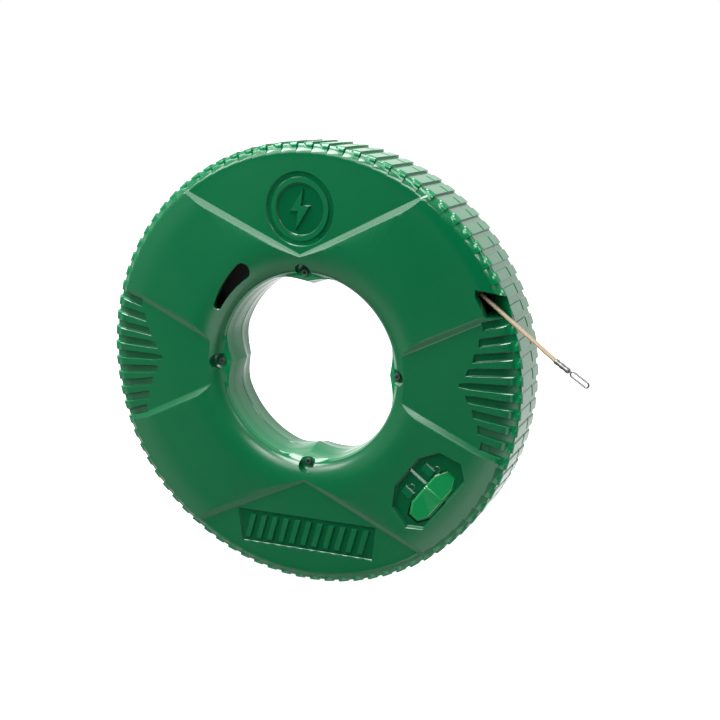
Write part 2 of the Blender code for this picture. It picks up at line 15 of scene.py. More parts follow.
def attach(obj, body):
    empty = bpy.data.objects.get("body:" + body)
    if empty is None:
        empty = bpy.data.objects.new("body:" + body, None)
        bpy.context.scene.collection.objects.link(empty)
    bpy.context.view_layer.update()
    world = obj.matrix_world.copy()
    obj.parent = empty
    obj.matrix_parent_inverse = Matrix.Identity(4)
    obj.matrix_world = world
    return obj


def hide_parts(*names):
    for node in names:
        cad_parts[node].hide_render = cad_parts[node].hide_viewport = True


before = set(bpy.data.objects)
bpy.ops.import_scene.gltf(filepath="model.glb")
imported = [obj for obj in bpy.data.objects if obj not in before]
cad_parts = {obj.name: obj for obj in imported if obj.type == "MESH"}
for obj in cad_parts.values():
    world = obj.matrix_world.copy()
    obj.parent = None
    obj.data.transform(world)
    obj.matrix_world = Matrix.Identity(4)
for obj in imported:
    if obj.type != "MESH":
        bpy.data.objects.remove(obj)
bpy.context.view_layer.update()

MM = 0.001
SHARPEST_BEND = 0.3  # keeps the sharp corners of a grown outline short
FLAT_WEIGHT = 80  # how far big flat faces rule the shading of the rounds beside them

# ---- camera, fitted to the round outline, the hand hole and the creases ----
CAMERA_AZIMUTH = math.radians(23.242)
CAMERA_ELEVATION = math.radians(12.873)
CAMERA_ROLL = math.radians(-0.426)
CAMERA_DISTANCE = 847.7  # from the middle of the case
CAMERA_OFFSET = (32.71, 2.87)  # right and up in the picture's plane
LENS = 56.465
SENSOR_WIDTH = 36

# ---- case, with the CAD model's main sizes ----
LUGS = 84
CASE_R = 165.0
CASE_HALF = 26.5
PARTING = 4.0  # front shell's edge lies this far behind the middle
REAR_PARTING = 4.3  # and the rear shell's edge this far
SHOULDER = (8.5, 6.5)  # half axes of the shoulder's curve: radial, in height
CROWN_R = 137.0  # the arms fall off from here to the shoulder
CROWN = 1.5  # and by this much
FUNNEL_OUT = 97.0  # the face ends here, and falls off towards the hand hole
FUNNEL_IN = 70.9
FUNNEL_POWER = 2.15  # of the superellipse from the face down to the hand hole
EDGE_R = 70.6  # rim of the hand hole
EDGE_H = {1: 15.6, -1: 19.0}  # its height on the front and on the rear half
SECTOR_H = 24.0  # level of the sunk sectors
CREASE_APEX = 81.0  # where the creases of the upper and lower sectors would meet
SIDE_APEX = 31.0  # and those of the side sectors
CREASE_ANGLE = math.radians(25)
SCREWS = 4
SCREW_R = 71.5
SEAT_R = 72.4  # middle and radius of a screw's counterbore
SEAT_RADIUS = 6.2
BOSS_NOSE = 6.0  # how far a screw boss stands into the hand hole
BOSS_CROWN = 0.4  # part by which it stands out further where the shells meet
BOSS_CROWN_H = 12.0  # height at which that has faded away
BOSS_SPREAD = math.radians(22)
BOSS_POINT = 1.8  # power that sharpens the middle of a boss
BOSS_SLOPE = 2.2  # the rim lies this much lower on a boss
INSIDE = [(161.2, None), (161.2, 12), (159, 16.8), (155, 19.2), (148, 20.6), (124, 21.2),
          (92, 21.2), (84, 20.6)]   # inner side of the rim and face; None is the shell's edge

# ---- tread ----
LUG_START = 0.17  # part of a pitch from a lug's start to its groove's middle
LUG_COLUMNS = [0, 0.035, 0.14, 0.24, 0.33, 0.375, 0.42, 0.5, 0.6, 0.7, 0.8, 0.9, 0.965, 0.995]
# Places along a lug are lengths from the edge of the face, over the shoulder.
CHANNEL = 1.6  # depth at a lug's start
CHANNEL_ENDS = (0.3, 5.5)  # the channels deepen between these places
LUG_RISE = 0.8  # a lug rises this much over its width
PAD_HEIGHT = 0.8  # of the pad that stands on each lug
PAD_ENDS = (4.5, 7.0)  # the pads rise between these places
PAD_FOOT = (0.3, 1.3)  # and between these heights over the shell's own edge
PAD_SIDE = 0.375  # part of a lug's width where its pad starts
PAD_WALL = 0.045
PAD_TAPER = 0.22  # a pad starts this much later at its end by the face
PAD_TAPER_ENDS = (6, 11)
SCALLOP = 0.15  # lugs are rounded this much where they meet the face
SCALLOP_ENDS = (0.8, 3.0, 6, 9)

# ---- lock ----
LOCK_ANGLE = math.radians(-38)
RECESS = [(106.3, -16.5), (106.3, 12.5), (114.7, 26.5), (131.6, 31), (141.5, 23),
          (141.5, -27), (131.6, -35), (114.7, -30.5)]
RECESS_H = 23.5
ROCKER_R = (122.5, 141)  # rocker: its two radii, and its ends on both sides of the pivot
ROCKER_T = (-27, 21)
BUTTON_TRIM = (1.3, 1.6)  # the button is smaller than the CAD's at its outer side and top
ROCKER_CHAMFER = (4.5, 9)  # of its corners, across and along
ROCKER_FLOOR = 20.0
PIVOT_H = 19.5

# ---- tape ----
TAPE_R = 1.5
PORT_POINT = Vector((134.3, 61.6, 15.2))
TAPE_LINE = Vector((0.8038, -0.5348, 0.2605)).normalized()
TAPE_TIP = Vector((213.4, 11.2, 40.5))
TAPE_INSIDE = 84.0  # length from the port's point back to the wound tape
TAPE_OUTSIDE = 68.0  # and out to the ferrule
TAPE_START = PORT_POINT - TAPE_LINE * TAPE_INSIDE
FERRULE_GAP = 0.3


# ================= frames and meshes =================

def place(points):
    """Points of the lying frame, in millimetres, turned upright and in metres."""
    points = np.asarray(points, float).reshape(-1, 3)
    return np.stack([points[:, 0], -points[:, 2], points[:, 1]], 1) * MM


def polar(radius, angle):
    return (radius * math.cos(angle), radius * math.sin(angle))


def lock_point(radial, along, height):
    """A point of the lock's frame, whose first axis points out through the rocker's pivot."""
    c, s = math.cos(LOCK_ANGLE), math.sin(LOCK_ANGLE)
    return (radial * c - along * s, radial * s + along * c, height)


def turned_point(angle):
    """Function that turns a point of a cutter's own frame about the reel's axis."""
    c, s = math.cos(angle), math.sin(angle)
    return lambda x, y, h: (x * c - y * s, x * s + y * c, h)


def smooth(value, low, high):
    """0 up to the low value, 1 from the high value on, and an even curve between."""
    t = np.clip((np.asarray(value, float) - low) / (high - low), 0, 1)
    return t * t * (3 - 2 * t)


def new_object(name, data):
    obj = bpy.data.objects.new(name, data)
    bpy.context.scene.collection.objects.link(obj)
    return obj


def mesh_object(name, points, faces):
    mesh = bpy.data.meshes.new(name)
    mesh.from_pydata(place(points).tolist(), [], faces)
    work = bmesh.new()
    work.from_mesh(mesh)
    bmesh.ops.recalc_face_normals(work, faces=work.faces)
    work.to_mesh(mesh)
    work.free()
    return new_object(name, mesh)


def loft(name, rings, cyclic=False):
    """A closed solid through rings of equal count; open ends get a flat cap."""
    count = len(rings[0])
    points = [point for ring in rings for point in ring]
    faces = []
    last = len(rings) if cyclic else len(rings) - 1
    for i in range(last):
        a = i * count
        b = ((i + 1) % len(rings)) * count
        for j in range(count):
            k = (j + 1) % count
            faces.append((a + j, a + k, b + k, b + j))
    if not cyclic:
        faces.append(tuple(range(count)))
        faces.append(tuple(range(len(points) - count, len(points))))
    return mesh_object(name, points, faces)


def moved(outline, x, y):
    return [(x + px, y + py) for px, py in outline]


def circle(x, y, radius, sides):
    return moved([polar(radius, 2 * math.pi * i / sides) for i in range(sides)], x, y)


def rectangle(x, y, wide, tall):
    """Corners round a middle, with half the width and half the height."""
    return moved([(-wide, -tall), (wide, -tall), (wide, tall), (-wide, tall)], x, y)


def ccw(outline):
    """The same outline, counter-clockwise."""
    area = sum(outline[i - 1][0] * p[1] - p[0] * outline[i - 1][1]
               for i, p in enumerate(outline))
    return outline if area > 0 else outline[::-1]


def grown(outline, distance):
    """A polygon, counter-clockwise, with every side moved outwards by a distance."""
    corners = []
    count = len(outline)
    for i in range(count):
        before = Vector(outline[i - 1])
        here = Vector(outline[i])
        after = Vector(outline[(i + 1) % count])
        first = (here - before).normalized()
        second = (after - here).normalized()
        n1 = Vector((first.y, -first.x))
        n2 = Vector((second.y, -second.x))
        bend = max(1 + n1.dot(n2), SHARPEST_BEND)
        corners.append(tuple(here + (n1 + n2) * (distance / bend)))
    return corners


def prism(name, outline, levels, turn=turned_point(0)):
    """A solid with an outline grown by its own distance at each level: (distance, height)."""
    rings = []
    for distance, height in levels:
        rings.append([turn(x, y, height) for x, y in grown(outline, distance)])
    return loft(name, rings)


def lathe(name, start, direction, profile, sides=40):
    """A closed turned piece along a direction; the profile is (distance along, radius)."""
    start = Vector(start)
    along = Vector(direction).normalized()
    first = along.orthogonal().normalized()
    second = along.cross(first)
    rings = []
    for distance, radius in profile:
        centre = start + along * distance
        rings.append([tuple(centre + first * x + second * y)
                      for x, y in circle(0, 0, radius, sides)])
    return loft(name, rings)


def bar(name, start, end, radius, sides=24):
    """A round bar between two points of the lying frame."""
    along = Vector(end) - Vector(start)
    return lathe(name, start, along, [(0, radius), (along.length, radius)], sides)


def joined(name, parts):
    """Several separate solids as one object."""
    work = bmesh.new()
    for part in parts:
        work.from_mesh(part.data)
        bpy.data.objects.remove(part)
    mesh = bpy.data.meshes.new(name)
    work.to_mesh(mesh)
    work.free()
    return new_object(name, mesh)


def apply_modifiers(obj):
    bpy.context.view_layer.update()
    evaluated = obj.evaluated_get(bpy.context.evaluated_depsgraph_get())
    mesh = bpy.data.meshes.new_from_object(evaluated)
    obj.modifiers.clear()
    old = obj.data
    obj.data = mesh
    bpy.data.meshes.remove(old)


def combine(obj, tool, operation):
    """Boolean of two closed solids, with the tool used up."""
    boolean = obj.modifiers.new("boolean", "BOOLEAN")
    boolean.operation = operation
    boolean.solver = "MANIFOLD"
    boolean.object = tool
    apply_modifiers(obj)
    bpy.data.objects.remove(tool)


def cut_away(obj, *tools):
    for tool in tools:
        combine(obj, tool, "DIFFERENCE")


def shade(obj, angle=32):
    obj.data.shade_smooth()
    obj.data.set_sharp_from_angle(angle=math.radians(angle))
    weighted = obj.modifiers.new("flat faces first", "WEIGHTED_NORMAL")
    weighted.keep_sharp = True
    weighted.weight = FLAT_WEIGHT
    return obj


def piece(obj, body, material, nodes=()):
    """Give a finished piece its material, the body it moves with and the nodes it stands for."""
    obj.data.materials.clear()
    obj.data.materials.append(material)
    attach(obj, body)
    if nodes:
        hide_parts(*nodes)
    return obj


# ================= camera =================

def make_camera():
    azimuth, elevation, roll = CAMERA_AZIMUTH, CAMERA_ELEVATION, CAMERA_ROLL
    back = Vector((math.sin(azimuth) * math.cos(elevation),
                   -math.cos(azimuth) * math.cos(elevation), math.sin(elevation)))
    level = Vector((math.cos(azimuth), math.sin(azimuth), 0))
    above = back.cross(level)
    right = level * math.cos(roll) + above * math.sin(roll)
    up = above * math.cos(roll) - level * math.sin(roll)
    place_at = back * CAMERA_DISTANCE + right * CAMERA_OFFSET[0] + up * CAMERA_OFFSET[1]
    data = bpy.data.cameras.new("camera")
    data.lens = LENS
    data.sensor_width = SENSOR_WIDTH
    camera = new_object("camera", data)
    turn = Matrix((right, up, back)).transposed().to_4x4()
    camera.matrix_world = Matrix.Translation(place_at * MM) @ turn
    bpy.context.scene.camera = camera


make_camera()


# ================= case =================

CREASE = [(-1.0, 0.0), (-0.1, 0.12), (0.8, 0.6), (3.6, 2.1), (4.6, 2.5)]  # inset, drop
CREASE_OVER = (-2.5, 0.5)  # inset and rise over the face of a sector cutter's top
SUNK = 0.03  # the shoulder's rows lie this much under the sectors' floors
SECTOR_FAR = 156.6  # the flat of a sunk sector ends here
ABOVE = 30.0  # height well over the case, where cutters end
BORE_WALL_R = [(-4.0, 69.4), (7.0, 69.5), (7.5, 69.7), (15.0, 70.6)]  # height, radius
BORE_ROWS = (2.0, 7.0, 7.6, 10.5)
BORE_TOP_ROW = 3.0  # the wall's last row lies this far below the rim
EDGE_STEP = 0.35  # the shells' meeting edges stand back this much in the bore
OVER_RIM = (0.5, 0.4, 0.4)  # row over the rim: parts of the bosses' bump and fall, and rise
ARM_ROWS = 4
TREAD_ROWS = (15.0, 10.0, 6.0, 2.0, -1.0)
EDGE_ROWS = (1.3, 0.8, 0.3, 0.0)  # heights over the shell's own edge
# Inner side of the bore's wall: radius, part of the bosses it follows, height or the edge.
INSIDE_BORE = [(78, 0.25, 18.6), (74.5, 0.7, 13.5), (74, 0.7, None)]
SHOULDER_STEPS = range(0, 91, 6)  # degrees round the shoulder's curve
FUNNEL_STEPS = [0.985, 0.965, 0.94, 0.905, 0.865, 0.82, 0.77, 0.71, 0.64, 0.56, 0.47, 0.37,
                0.26, 0.14, 0.0]          # parts of the way from the face to the rim


def lug_columns():
    """Angle of every column of a case mesh, and its place along its lug, from 0 to 1."""
    pitch = 2 * math.pi / LUGS
    angles = []
    parts = []
    for lug in range(LUGS):
        for part in LUG_COLUMNS:
            angles.append((LUG_START - lug - part) * pitch)
            parts.append(part)
    return np.array(angles), np.array(parts)


def boss_bump(angles):
    """How far the screw bosses stand into the hand hole at each angle."""
    step = 2 * math.pi / SCREWS
    off = np.abs((angles + step / 2) % step - step / 2)
    t = np.clip(off / BOSS_SPREAD, 0, 1)
    return BOSS_NOSE * ((1 + np.cos(math.pi * t)) / 2 + (1 - t) ** BOSS_POINT) / 2


def crease_drop(x, y):
    """Depth of the sunk sectors below the arms at a point of the face."""
    c, s = math.cos(CREASE_ANGLE), math.sin(CREASE_ANGLE)
    over = (np.abs(y) - CREASE_APEX) * c - np.abs(x) * s
    beside = (np.abs(x) - SIDE_APEX) * s - np.abs(y) * c
    inset = np.maximum(over, beside)
    return np.interp(inset, [p[0] for p in CREASE], [p[1] for p in CREASE])


def funnel_drop(u):
    """Part of the funnel's depth reached at a part of the way from the face to its edge."""
    return 1 - (1 - u ** FUNNEL_POWER) ** (1 / FUNNEL_POWER)


def funnel_height(radius, edge):
    """Height of the arms' surface where it falls towards an edge of the hand hole."""
    u = min(max((FUNNEL_OUT - radius) / (FUNNEL_OUT - FUNNEL_IN), 0), 1)
    return CASE_HALF - (CASE_HALF - edge) * funnel_drop(u)


def tread_depth(part, along, above):
    """Depth of the tread at a place along a lug, a length from the face's edge and a height
    above the shell's own edge."""
    begin = smooth(along, *CHANNEL_ENDS)
    side = PAD_SIDE + PAD_TAPER * (1 - smooth(along, *PAD_TAPER_ENDS))
    on_pad = smooth(part, side, side + PAD_WALL) * smooth(along, *PAD_ENDS)
    on_pad = on_pad * smooth(above, *PAD_FOOT)
    round_off = smooth(along, *SCALLOP_ENDS[:2]) * (1 - smooth(along, *SCALLOP_ENDS[2:]))
    return (begin * (CHANNEL - LUG_RISE * part) - PAD_HEIGHT * on_pad
            + SCALLOP * (2 * part - 1) ** 2 * round_off)


def crowned(radius):
    """Height of an arm, which falls off slightly towards the shoulder."""
    out = (radius - CROWN_R) / (CASE_R - SHOULDER[0] - CROWN_R)
    return CASE_HALF - CROWN * max(out, 0) ** 2


def case_half(name, start, sign):
    """One half of the case as a closed turned solid, in rows all round its section."""
    angles, parts = lug_columns()
    bump = boss_bump(angles)
    cos, sin = np.cos(angles), np.sin(angles)
    rows = []

    def row(radius, height):
        radius = radius + np.zeros_like(angles)
        rows.append(np.stack([radius * cos, radius * sin, sign * (height + 0 * angles)], 1))

    def sunk(radius):
        drop = crease_drop(radius * cos, radius * sin)
        return drop + SUNK * (drop > 0)

    edge = EDGE_H[sign]
    heights = [start, start + 0.4]
    heights += [h for h in (*BORE_ROWS, edge - BORE_TOP_ROW) if h > start + 1]
    for height in heights:
        wall = np.interp(height, [p[0] for p in BORE_WALL_R], [p[1] for p in BORE_WALL_R])
        crown = 1 + BOSS_CROWN * float(1 - smooth(height, 0, BOSS_CROWN_H))
        row(wall - bump * crown + (EDGE_STEP if height == start else 0), height)
    fall = BOSS_SLOPE * bump / BOSS_NOSE
    row(EDGE_R - bump, edge - fall)
    row(FUNNEL_IN - OVER_RIM[0] * bump, edge - OVER_RIM[1] * fall + OVER_RIM[2])
    for u in FUNNEL_STEPS:
        radius = FUNNEL_OUT + (FUNNEL_IN - FUNNEL_OUT) * u
        row(radius, funnel_height(radius, edge))
    wide, tall = SHOULDER
    centre = CASE_R - wide
    row(FUNNEL_OUT + 0.3, CASE_HALF)
    for i in range(ARM_ROWS + 1):
        radius = CROWN_R + (centre - 0.3 - CROWN_R) * i / ARM_ROWS
        row(radius, crowned(radius))
    top = CASE_HALF - CROWN
    low = CASE_HALF - tall
    along = 0.0
    for i, degrees in enumerate(SHOULDER_STEPS):
        turn = math.radians(degrees)
        if i:
            before = math.radians(SHOULDER_STEPS[i - 1])
            along += math.hypot(wide * (math.sin(turn) - math.sin(before)),
                                tall * (math.cos(turn) - math.cos(before)))
        depth = tread_depth(parts, along, CASE_HALF)
        slope = math.atan2(tall * math.sin(turn), wide * math.cos(turn))
        flat = centre + wide * math.sin(turn)
        rise = top - low - np.maximum(sunk(flat) - CROWN, 0)
        row(flat - depth * math.sin(slope), low + rise * math.cos(turn) - depth * math.cos(slope))
    tread = [h for h in TREAD_ROWS if h > start + 1.6] + [start + above for above in EDGE_ROWS]
    for height in tread:
        row(CASE_R - tread_depth(parts, along + low - height, height - start), height)
    for radius, height in INSIDE:
        row(radius, start if height is None else height)
    for radius, follow, height in INSIDE_BORE:
        row(radius + follow * bump, start if height is None else height)
    return loft(name, [list(map(tuple, ring)) for ring in rows], cyclic=True)


def sector_cutter(name, apex, half, angle, sign, steps=48):
    """The space over a sunk sector: flat floor, and creases that rise to the arms."""
    turn = turned_point(angle)
    rings = []
    levels = [(inset, CASE_HALF - drop) for inset, drop in reversed(CREASE) if drop > 0]
    for inset, height in levels + [(CREASE_OVER[0], CASE_HALF + CREASE_OVER[1])]:
        tip = apex + inset / math.sin(half)
        t = -tip * math.cos(half) + math.sqrt(SECTOR_FAR ** 2 - (tip * math.sin(half)) ** 2)
        end = math.atan2(t * math.sin(half), tip + t * math.cos(half))
        ring = [turn(tip, 0, sign * height)]
        for i in range(steps + 1):
            x, y = polar(SECTOR_FAR, end * (2 * i / steps - 1))
            ring.append(turn(x, y, sign * height))
        rings.append(ring)
    return loft(name, rings)


def sector_cutters(sign):
    tall = math.pi / 2 - CREASE_ANGLE
    return [sector_cutter("over", CREASE_APEX, tall, math.pi / 2, sign),
            sector_cutter("under", CREASE_APEX, tall, -math.pi / 2, sign),
            sector_cutter("right", SIDE_APEX, CREASE_ANGLE, 0, sign),
            sector_cutter("left", SIDE_APEX, CREASE_ANGLE, math.pi, sign)]


# ---- grooves of the side sectors ----
GROOVES = range(-4, 5)
GROOVE_PATH = [(150.0, 21.9, 0), (156.5, 21.5, 0), (160.0, 21.0, 6), (162.5, 20.2, 14),
               (164.3, 19.0, 26), (166.5, 17.2, 32)]   # floor's radius, height and lean
GROOVE_TIP_X = 120.8  # inner end of the middle groove
GROOVE_TIP_SLOPE = 0.62  # the others end on two shallow curves: slope and bend
GROOVE_TIP_BEND = 0.0057
GROOVE_TIP_DEPTH = 1.3
GROOVE_TIP_FALL = (6, 0.35)  # the floor falls over this length by this much
GROOVE_TIP_BACK = 0.55  # slope of the wall at the inner end
GROOVE_HALF = (1.2, 2.9)  # half width at GROOVE_START, and its most
GROOVE_START = 121
GROOVE_FLARE = 0.19
GROOVE_WALL = 0.75  # width of a wall's foot
GROOVE_TOP = (1.0, 6.0)  # the cutter's top: past the half width, and over the floor
GROOVE_LIP = 2.15  # most height of the bevelled lip above the floor
GROOVE_BEVEL = 0.3


def groove_tip_x(y):
    """The grooves' inner ends follow two shallow curves that meet on the X axis."""
    return GROOVE_TIP_X + GROOVE_TIP_SLOPE * abs(y) - GROOVE_TIP_BEND * y * y


def groove_half(radius):
    return min(GROOVE_HALF[0] + GROOVE_FLARE * (radius - GROOVE_START), GROOVE_HALF[1])


def groove_cutter(index, side, sign):
    """A wedge-shaped groove: slanted tip, flat floor, and walls with a bevelled lip."""
    angle = index * 2 * math.pi / LUGS
    turn = turned_point(angle)
    slope = math.tan(angle)
    tip = GROOVE_TIP_X
    for _ in range(8):         # finds where the groove's line crosses the curve of the tips
        tip = groove_tip_x(tip * slope)
    radius = tip / math.cos(angle)
    toward = (index > 0) - (index < 0)
    shear = (GROOVE_TIP_SLOPE - 2 * GROOVE_TIP_BEND * abs(tip * slope)) * toward
    floor = SECTOR_H - GROOVE_TIP_DEPTH
    length, fall = GROOVE_TIP_FALL
    path = [(radius, floor, 0), (radius + length, floor - fall, 0)] + GROOVE_PATH
    rings = []
    for i, (at, low, lean) in enumerate(path):
        half = groove_half(at)
        out = math.sin(math.radians(lean))
        up = math.cos(math.radians(lean))
        lip = min(SECTOR_H - low, GROOVE_LIP)
        # a wall's corners: across from the groove's middle, and over its floor
        wall = [(half - GROOVE_WALL, 0), (half - 0.1, lip - GROOVE_BEVEL),
                (half + 0.1 + GROOVE_BEVEL, lip + 0.2), (half + GROOVE_TOP[0], GROOVE_TOP[1])]
        ring = []
        for across, rise in [(-x, h) for x, h in reversed(wall)] + wall:
            back = (shear * across - GROOVE_TIP_BACK * rise) if i == 0 else 0
            x, y, h = turn(at + back + out * rise, across, low + up * rise)
            ring.append((side * x, y, sign * h))
        rings.append(ring)
    return loft(f"groove_{index}", rings)


def groove_cutters(sign):
    return [groove_cutter(index, side, sign) for side in (-1, 1) for index in GROOVES]


# ---- openings of the front face ----
WINDOW_EDGE = 79.4  # radius of its inner edge
WINDOW_ARC = (math.radians(123.6), math.radians(147.5))
WINDOW_ENDS = (5.9, 2.9)  # half its width at the upper and the lower end
WINDOW_UNDER = (1.6, 14)  # how far it widens behind the wall, and down to what height
WINDOW_BEVEL = [(-0.1, -1.1), (0.05, -0.5), (0.55, 0.02), (1.2, 0.7)]  # grown by, over the face
PORT = [(132.0, 66.6), (132.0, 63.0), (139.5, 49.2), (151.0, 49.2), (156.2, 51.2),
        (152.0, 63.9)]
PORT_FLOOR = 6.5
PORT_SLOPE = 1.05  # the floor rises this steeply outside PORT_SLOPE_X
PORT_SLOPE_X = 142.5
PORT_LIP = [(0, 22.4), (0.5, 24.0), (1.5, ABOVE)]
PORT_RAMP = [(139.0, 47.0), (150.0, 44.0), (157.0, 47.0), (151.0, 62.0), (136.0, 69.0)]
PORT_RAMP_H = (7.0, 17.2)  # the block under the port's floor
TAPE_GROOVE = (-20, 60)  # reach of the tape's groove from the port's point
TAPE_ROOM = 0.6  # round the tape in its groove
SEAT_LEVELS = [(-1.6, 15.2), (0, 16.2), (0, ABOVE)]
SCREW_HOLE_R = 2.05
SCREW_HOLE_H = (-8.0, 15.1)


def window_outline():
    """A curved slot that narrows from its upper to its lower end, with round ends."""
    start, end = WINDOW_ARC
    outer = []
    inner = []
    steps = 14
    for i in range(steps + 1):
        part = i / steps
        angle = start + part * (end - start)
        half = WINDOW_ENDS[0] + part * (WINDOW_ENDS[1] - WINDOW_ENDS[0])
        outer.append(polar(WINDOW_EDGE + 2 * half, angle))
        inner.append(polar(WINDOW_EDGE, angle))

    def cap(angle, half, way):
        turn = turned_point(angle)
        points = []
        for i in range(1, 8):
            x, y = polar(half, math.pi * i / 8)
            points.append(turn(WINDOW_EDGE + half + x, way * y, 0)[:2])
        return points

    return outer + cap(end, WINDOW_ENDS[1], 1) + inner[::-1] + cap(start, WINDOW_ENDS[0], -1)[::-1]


def window_cutter():
    """The window's opening, with a small bevel that follows the curve of the funnel."""
    outline = ccw(window_outline())
    under, height = WINDOW_UNDER
    rings = [[(x, y, height) for x, y in grown(outline, under)]]
    for distance, over in WINDOW_BEVEL:
        ring = []
        for x, y in grown(outline, distance):
            ring.append((x, y, funnel_height(math.hypot(x, y), EDGE_H[1]) + over))
        rings.append(ring)
    return loft("window", rings)


def button_outline(gap=0.0, swing=0.0):
    """The button's outline with a gap round it, and room at its lower end for its swing."""
    inner, outer = ROCKER_R[0] - gap, ROCKER_R[1] - BUTTON_TRIM[0] + gap
    low, high = ROCKER_T[0] - gap - swing, ROCKER_T[1] - BUTTON_TRIM[1] + gap
    side, end = ROCKER_CHAMFER
    return ccw([(inner, low + end), (inner + side, low), (outer - side, low), (outer, low + end),
                (outer, high - end), (outer - side, high), (inner + side, high),
                (inner, high - end)])


def leader_axis():
    """Seat of the ferrule, and the direction from there to the tip of the eye."""
    seat = PORT_POINT + TAPE_LINE * (TAPE_OUTSIDE + FERRULE_GAP)
    return seat, (TAPE_TIP - seat).normalized()


def front_shell():
    shell = case_half("case_front", -PARTING, 1)
    ramp = prism("ramp", ccw(PORT_RAMP), [(0, height) for height in PORT_RAMP_H])
    combine(shell, ramp, "UNION")
    cut_away(shell, *sector_cutters(1), joined("grooves", groove_cutters(1)))
    seats = []
    for i in range(SCREWS):
        x, y = polar(SCREW_R, 2 * math.pi * i / SCREWS)
        seat = circle(x * SEAT_R / SCREW_R, y * SEAT_R / SCREW_R, SEAT_RADIUS, 48)
        seats.append(prism("seat", seat, SEAT_LEVELS))
        hole = circle(x, y, SCREW_HOLE_R, 20)
        seats.append(prism("hole", hole, [(0, height) for height in SCREW_HOLE_H]))
    ends = [PORT_POINT + TAPE_LINE * reach for reach in TAPE_GROOVE]
    cut_away(shell, joined("seats", seats), window_cutter(), port_cutter(),
             bar("tape_groove", *ends, TAPE_R + TAPE_ROOM))
    lock_recess(shell)
    badge(shell)
    panel(shell)
    return shade(shell, 25)


def port_cutter():
    """The port's opening: straight down at its inner side, and a ramp up to the rim."""
    outline = ccw(PORT)
    rings = [[(x, y, PORT_FLOOR + PORT_SLOPE * max(x - PORT_SLOPE_X, 0)) for x, y in outline]]
    for distance, height in PORT_LIP:
        rings.append([(x, y, height) for x, y in grown(outline, distance)])
    return loft("port", rings)


# ---- marks on the face: levels are (grown by, height) ----
RECESS_LEVELS = [(-0.9, RECESS_H), (-0.5, RECESS_H + 0.3), (0.2, 26.0), (0.7, 26.4), (1.5, 27.5)]
ROCKER_GAP_LEVELS = [(0, 14), (0, 23.5), (0.5, 24.2), (1.5, ABOVE)]
ROCKER_GAP = (0.5, 0.9)  # round the button, and more at its lower end
LINE = rectangle(114.4, 0, 7.4, 0.9)
LINE_LEVELS = [(0.7, RECESS_H - 0.6), (0.7, RECESS_H), (-0.6, RECESS_H + 1.3)]
PADLOCKS = [(116.0, -14.5, True), (116.6, 9.5, False)]  # middle, and whether it is shut
PADLOCK_BODY = (4.2, 3.3)  # half its sides
PADLOCK_LEVELS = [(0.3, RECESS_H - 0.6), (0.3, RECESS_H), (-0.5, RECESS_H + 0.9)]
SHACKLE_R = 2.3
SHACKLE_WIRE = 0.45  # half its width
SHACKLE_LEG = 1.6
SHACKLE_SWING = 4.6  # the shackle of an open lock is moved this far to the side
SHACKLE_LEVELS = [(0.25, RECESS_H - 0.6), (0.25, RECESS_H), (-0.2, RECESS_H + 0.5)]


def lock_recess(shell):
    """The sunk octagon round the rocker, its two padlock marks and the line between them."""
    cut_away(shell, prism("recess", ccw(RECESS), RECESS_LEVELS, lock_point),
             prism("rocker_gap", button_outline(*ROCKER_GAP), ROCKER_GAP_LEVELS, lock_point))
    marks = [prism("line", LINE, LINE_LEVELS, lock_point)]
    for radial, along, shut in PADLOCKS:
        marks += padlock(radial, along, shut)
    for mark in marks:
        combine(shell, mark, "UNION")


def padlock(radial, along, shut):
    """A raised padlock mark; its shackle is swung open unless it is shut."""
    edge = along + PADLOCK_BODY[1]
    middle = radial if shut else radial + SHACKLE_SWING
    steps = 16
    arch = [polar(SHACKLE_R, math.pi * (1 - i / steps)) for i in range(steps + 1)]
    path = [(middle - SHACKLE_R, edge - 0.5)]
    path += moved(arch, middle, edge + SHACKLE_LEG)
    path.append((middle + SHACKLE_R, edge - 0.5 if shut else edge + 0.8))
    outer = []
    inner = []
    for i, (x, y) in enumerate(path):
        before = Vector(path[max(i - 1, 0)])
        after = Vector(path[min(i + 1, len(path) - 1)])
        side = (after - before).normalized()
        normal = Vector((-side.y, side.x)) * SHACKLE_WIRE
        outer.append((x + normal.x, y + normal.y))
        inner.append((x - normal.x, y - normal.y))
    body = rectangle(radial, along, *PADLOCK_BODY)
    return [prism("lock_body", body, PADLOCK_LEVELS, lock_point),
            prism("shackle", ccw(outer + inner[::-1]), SHACKLE_LEVELS, lock_point)]


BADGE = (0.0, 117.5)  # middle of the medallion
BADGE_RING = (22.5, 26.5)  # radii of its ring groove
RING_LEVELS = [(-0.5, SECTOR_H - 1.0), (0, SECTOR_H - 0.6), (0.6, SECTOR_H + 0.5)]
CORE_LEVELS = [(0.5, SECTOR_H - 1.5), (0.5, SECTOR_H - 1.0), (-0.6, SECTOR_H + 0.6)]
BADGE_DISC = 18.5
DISC_LEVELS = [(-0.5, SECTOR_H - 1.3), (0, SECTOR_H - 0.9), (0.7, SECTOR_H + 0.5)]
BOLT = [(3.0, 14.5), (-8.0, -1.5), (-1.5, -1.5), (-3.5, -14.5), (8.0, 2.5), (1.2, 2.5)]
BOLT_LEVELS = [(0.5, SECTOR_H - 2.0), (0.5, SECTOR_H - 1.3), (-0.3, SECTOR_H),
               (-0.35, SECTOR_H + 1.0)]


def badge(shell):
    """A round medallion: a ring groove, a sunk disc and a raised lightning bolt."""
    x, y = BADGE
    ring = prism("ring", circle(x, y, BADGE_RING[1], 96), RING_LEVELS)
    core = prism("core", circle(x, y, BADGE_RING[0], 96), CORE_LEVELS)
    cut_away(ring, core)
    disc = prism("disc", circle(x, y, BADGE_DISC, 96), DISC_LEVELS)
    cut_away(disc, prism("bolt", ccw(moved(BOLT, x, y)), BOLT_LEVELS))
    cut_away(shell, ring, disc)


